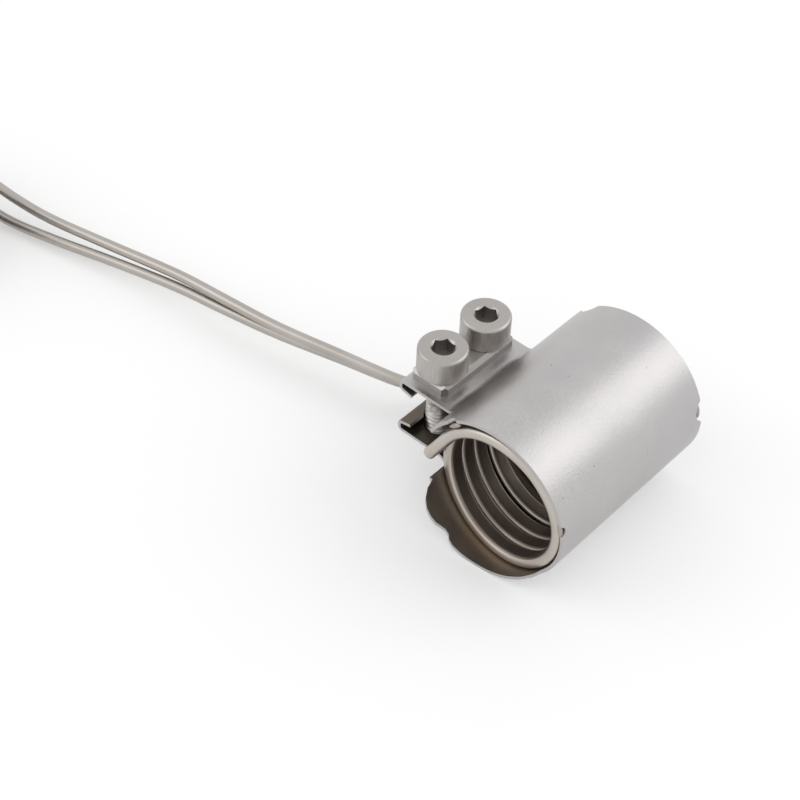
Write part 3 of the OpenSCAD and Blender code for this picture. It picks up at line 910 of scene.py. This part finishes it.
class HEATER_OT_screws(bpy.types.Operator):
    """Turns both clamp screws, with their sockets and threads, and paints shade inside the sockets.
    """

    bl_idname = "heater.screws"
    bl_label = "Clamp screws"

    # Shares of the pitch, and lengths in millimetres
    flank_share = 0.42
    land_share = 0.12
    spare_turns = 3
    thread_steps = 48
    into_head = 0.3
    tip_chamfer = 0.55
    rim_vertices = 96
    rim_segments = 5
    lower_rim_rounding = 0.15
    tool_margin = 1.0
    sink_inside = 0.33
    sink_outside = 0.67
    sink_rise = 0.1
    edge_bevel = 0.05
    edge_angle = 50.0
    socket_reach = 0.28
    socket_below_top = 0.3
    side_facing = 0.3

    def thread(self):
        """A threaded shank from just inside the head down to its chamfered tip."""
        s = SCENE.heater_sizes
        crest, root = s.screw_diameter / 2, s.screw_diameter / 2 - s.thread_depth
        flank = s.thread_pitch * self.flank_share
        land = s.thread_pitch * self.land_share
        steps = [(0.0, s.thread_pitch - 2 * flank - land), (s.thread_depth, flank), (0.0, land),
                 (-s.thread_depth, flank)]
        # A plane merged into one point starts the thread's profile
        bpy.ops.mesh.primitive_plane_add(size=MM)
        shank = bpy.context.object
        edit(shank)
        bpy.ops.mesh.select_all(action="SELECT")
        bpy.ops.mesh.merge(type="CENTER")
        low = -s.screw_length - s.thread_pitch
        bpy.ops.transform.translate(value=(root * MM, 0.0, low * MM))
        for outwards_by, up_by in steps:
            bpy.ops.mesh.extrude_region_move(
                TRANSFORM_OT_translate={"value": (outwards_by * MM, 0.0, up_by * MM)}
            )
        close_edit()
        turns = math.ceil(s.screw_length / s.thread_pitch) + self.spare_turns
        add_modifier(
            shank, "SCREW", angle=2 * math.pi, screw_offset=s.thread_pitch * MM,
            steps=self.thread_steps, render_steps=self.thread_steps, iterations=turns, axis="Z",
        )
        outwards(shank)
        cut_flat(shank, (0, 0, -s.screw_length * MM), (0, 0, -1))
        cut_flat(shank, (0, 0, self.into_head * MM), (0, 0, 1))
        for vertex in shank.data.vertices:
            above_tip = vertex.co.z / MM + s.screw_length
            widest = crest - self.tip_chamfer + above_tip
            radius = math.hypot(vertex.co.x, vertex.co.y) / MM
            if radius > widest:
                vertex.co.x *= widest / radius
                vertex.co.y *= widest / radius
        outwards(shank)
        return shank

    def cutter(self, kind, turn=0.0, **values):
        """A tool for the head, turned about its axis."""
        getattr(bpy.ops.mesh, kind)(**values)
        tool = bpy.context.object
        tool.rotation_euler = (0.0, 0.0, math.radians(turn))
        apply_place(tool)
        return tool

    def cut(self, piece, tool, operation="DIFFERENCE"):
        """Cuts a tool out of a piece, or joins it, and removes the tool."""
        add_modifier(piece, "BOOLEAN", operation=operation, object=tool, solver="EXACT")
        bpy.data.objects.remove(tool)

    def head(self, turn):
        """A head with its rounded rim, hexagon socket and countersink."""
        s = SCENE.heater_sizes
        bpy.ops.mesh.primitive_cylinder_add(
            vertices=self.rim_vertices, radius=s.head_diameter / 2 * MM,
            depth=s.head_height * MM, location=(0, 0, s.head_height / 2 * MM),
        )
        head = bpy.context.object
        apply_place(head)
        for level, width, segments in (
            (s.head_height * MM, s.head_rounding, self.rim_segments),
            (0.0, self.lower_rim_rounding, 2),
        ):
            edit(head, "EDGE")
            close_edit()
            for edge in head.data.edges:
                edge.select = all(
                    abs(head.data.vertices[v].co.z - level) < MERGE_DISTANCE for v in edge.vertices
                )
            bpy.ops.object.mode_set(mode="EDIT")
            bpy.ops.mesh.bevel(offset=width * MM, segments=segments)
            close_edit()
        half_a_side = math.radians(30.0)
        corners = s.socket_width / math.cos(half_a_side) / 2
        deep = s.socket_depth + self.tool_margin
        socket = self.cutter(
            "primitive_cylinder_add", turn, vertices=6, radius=corners * MM, depth=deep * MM,
            location=(0, 0, (s.head_height - s.socket_depth + deep / 2) * MM),
        )
        self.cut(head, socket)
        sink = self.cutter(
            "primitive_cone_add", vertices=self.rim_vertices,
            radius1=(corners - self.sink_inside) * MM, radius2=(corners + self.sink_outside) * MM,
            depth=self.tool_margin * MM, location=(0, 0, (s.head_height + self.sink_rise) * MM),
        )
        self.cut(head, sink)
        return head

    def execute(self, context):
        s = SCENE.heater_sizes
        steel = finishes()["Screw steel"]
        joints = frame["record"]["behaviour"]["joints"]
        for side, turn, joint in (("front", 22.0, joints[0]), ("rear", 48.0, joints[1])):
            screw = self.head(turn)
            self.cut(screw, self.thread(), "UNION")
            screw.name = side + "_socket_screw"
            add_modifier(
                screw, "BEVEL", width=self.edge_bevel * MM, segments=2, limit_method="ANGLE",
                angle_limit=math.radians(self.edge_angle), use_clamp_overlap=True,
            )
            screw.location = joint["pos_m"]
            apply_place(screw)
            smooth(screw, angle=32.0)
            finish_piece(screw, steel, side + "_screw", "screw_steel", side + "_clamp_screw")
            screw.data.materials.append(finishes()["Screw side"])
            screw.data.materials.append(finishes()["Screw socket painted shade"])
            axis = Vector(joint["pos_m"])
            # Faces inside the sockets get painted shade; faces on the sides get the side finish.
            for face in screw.data.polygons:
                c = (face.center - axis) / MM
                near_axis = math.hypot(c.x, c.y) < s.socket_width / 2 + self.socket_reach
                if near_axis and 0 < c.z < s.head_height - self.socket_below_top:
                    face.material_index = 2
                elif abs(face.normal.z) < self.side_facing:
                    face.material_index = 1
        return {"FINISHED"}


class HEATER_OT_fittings(bpy.types.Operator):
    """Finishes the tack welds, ties, end sleeves, conductors and ferrules"""

    bl_idname = "heater.fittings"
    bl_label = "Welds, ties and lead ends"

    # The angle round the bore that parts two beads, and how much each bead is stretched
    bead_degrees = 12.0
    bead_radial = 0.5
    bead_along_rim = 1.7
    bead_along_bore = 0.5

    def flatten_beads(self, piece):
        """Makes each round bead a low one that runs along the rim."""
        beads = {}
        for vertex in piece.data.vertices:
            angle = math.degrees(math.atan2(vertex.co.z, vertex.co.x))
            step = round(angle / self.bead_degrees)
            key = min(beads, key=lambda k: abs(k - step), default=None)
            if key is None or abs(key - step) > 1:
                key = step
            beads.setdefault(key, []).append(vertex)
        for bead in beads.values():
            middle = sum((v.co for v in bead), Vector()) / len(bead)
            radial = Vector((middle.x, 0.0, middle.z)).normalized()
            for vertex in bead:
                away = vertex.co - middle
                outward = away.dot(radial) * radial
                along = Vector((0.0, away.y, 0.0))
                rim = away - outward - along
                vertex.co = (
                    middle + outward * self.bead_radial + along * self.bead_along_bore
                    + rim * self.bead_along_rim
                )

    def execute(self, context):
        made = finishes()
        for node in ("front_tack_welds", "rear_tack_welds"):
            piece = copy_of_node(node, node.replace("tack_welds", "beads"), bevel=0.02)
            self.flatten_beads(piece)
            smooth(piece, angle=80.0)
            finish_piece(piece, made["Weld metal"], "heater", "weld_metal", node)
        for side in ("left", "right"):
            node = side + "_coil_tie"
            piece = copy_of_node(node, side + "_strap", bevel=0.15, segments=3)
            finish_piece(piece, made["Tie plastic"], "heater", "tie_plastic", node)
        for side in ("upper", "lower"):
            for kind, name, bevel, finish, slot in (
                ("_end_sleeve", "_crimp_sleeve", 0.2, "Lead steel", "sleeve_steel"),
                ("_conductors", "_wires", 0.05, "Wire sleeving", "wire_braid"),
                ("_ferrules", "_wire_tips", 0.08, "Ferrule tin", "ferrule_tin"),
            ):
                piece = copy_of_node(side + kind, side + name, bevel)
                finish_piece(piece, made[finish], "heater", slot, side + kind)
        return {"FINISHED"}


class HEATER_OT_stage(bpy.types.Operator):
    """Sets the floor, the lamps and the world"""

    bl_idname = "heater.stage"
    bl_label = "Stage"

    # Places and sizes in metres, each lamp's power in watts
    floor_size = 6.0
    floor_glow = 0.3
    world_glow = 0.93
    lamp_aim = Vector((0.0, 0.015, 0.0))
    lamps = (
        ("Key", (0.28, 0.35, 0.36), 0.42, 0.62),
        ("Left fill", (-0.45, -0.35, 0.35), 0.40, 0.5),
    )

    def execute(self, context):
        bpy.ops.mesh.primitive_plane_add(size=self.floor_size, location=(0, 0, FLOOR_Z))
        floor = context.object
        floor.name = "Floor"
        apply_place(floor)
        material, nodes, link = new_material("Studio floor")
        shader = nodes["Principled BSDF"]
        shader.inputs["Base Color"].default_value = (*SCENE.heater_colours.floor, 1.0)
        shader.inputs["Roughness"].default_value = 1.0
        shader.inputs["Specular IOR Level"].default_value = 0.0
        glow = nodes.new("ShaderNodeEmission")
        sheet = nodes.new("ShaderNodeMixShader")
        share = nodes.new("ShaderNodeMath")
        share.operation = "MULTIPLY"
        share.inputs[1].default_value = self.floor_glow
        link(seen_rays(nodes, link), share.inputs[0])
        link(share.outputs[0], sheet.inputs["Fac"])
        link(shader.outputs["BSDF"], sheet.inputs[1])
        link(glow.outputs["Emission"], sheet.inputs[2])
        link(sheet.outputs["Shader"], nodes["Material Output"].inputs["Surface"])
        floor.data.materials.append(material)
        for name, place, size, power in self.lamps:
            bpy.ops.object.light_add(type="AREA", location=place)
            lamp = context.object
            lamp.name = name
            lamp.data.size = size
            lamp.data.energy = power
            aim = self.lamp_aim - Vector(place)
            lamp.rotation_euler = aim.to_track_quat("-Z", "Y").to_euler()
        world = bpy.data.worlds.new("Studio")
        SCENE.world = world
        world.use_nodes = True
        nodes, link = world.node_tree.nodes, world.node_tree.links.new
        back = nodes["Background"]
        back.inputs["Color"].default_value = (1, 1, 1, 1)
        level = nodes.new("ShaderNodeMapRange")
        level.inputs["To Min"].default_value = self.world_glow
        level.inputs["To Max"].default_value = 1.0
        link(seen_rays(nodes, link), level.inputs["Value"])
        link(level.outputs["Result"], back.inputs["Strength"])
        SCENE.view_settings.view_transform = "Standard"
        return {"FINISHED"}


class HEATER_PT_panel(bpy.types.Panel):
    """Lists the pieces of the coil heater"""

    bl_label = "Coil heater"
    bl_idname = "HEATER_PT_panel"
    bl_space_type = "VIEW_3D"
    bl_region_type = "UI"
    bl_category = "Coil heater"

    def draw(self, context):
        for operator in OPERATORS:
            self.layout.operator(operator.bl_idname)


OPERATORS = (
    HEATER_OT_camera,
    HEATER_OT_fittings,
    HEATER_OT_leads,
    HEATER_OT_element,
    HEATER_OT_sheath,
    HEATER_OT_hardware,
    HEATER_OT_screws,
    HEATER_OT_stage,
)
CLASSES = (HeaterSizes, HeaterColours, *OPERATORS, HEATER_PT_panel)


def register():
    for cls in CLASSES:
        bpy.utils.register_class(cls)
    bpy.types.Scene.heater_sizes = bpy.props.PointerProperty(type=HeaterSizes)
    bpy.types.Scene.heater_colours = bpy.props.PointerProperty(type=HeaterColours)


def unregister():
    del bpy.types.Scene.heater_colours
    del bpy.types.Scene.heater_sizes
    for cls in reversed(CLASSES):
        bpy.utils.unregister_class(cls)


def main():
    register()
    for operator in OPERATORS:
        group, name = operator.bl_idname.split(".")
        getattr(getattr(bpy.ops, group), name)()


if __name__ == "__main__":
    main()
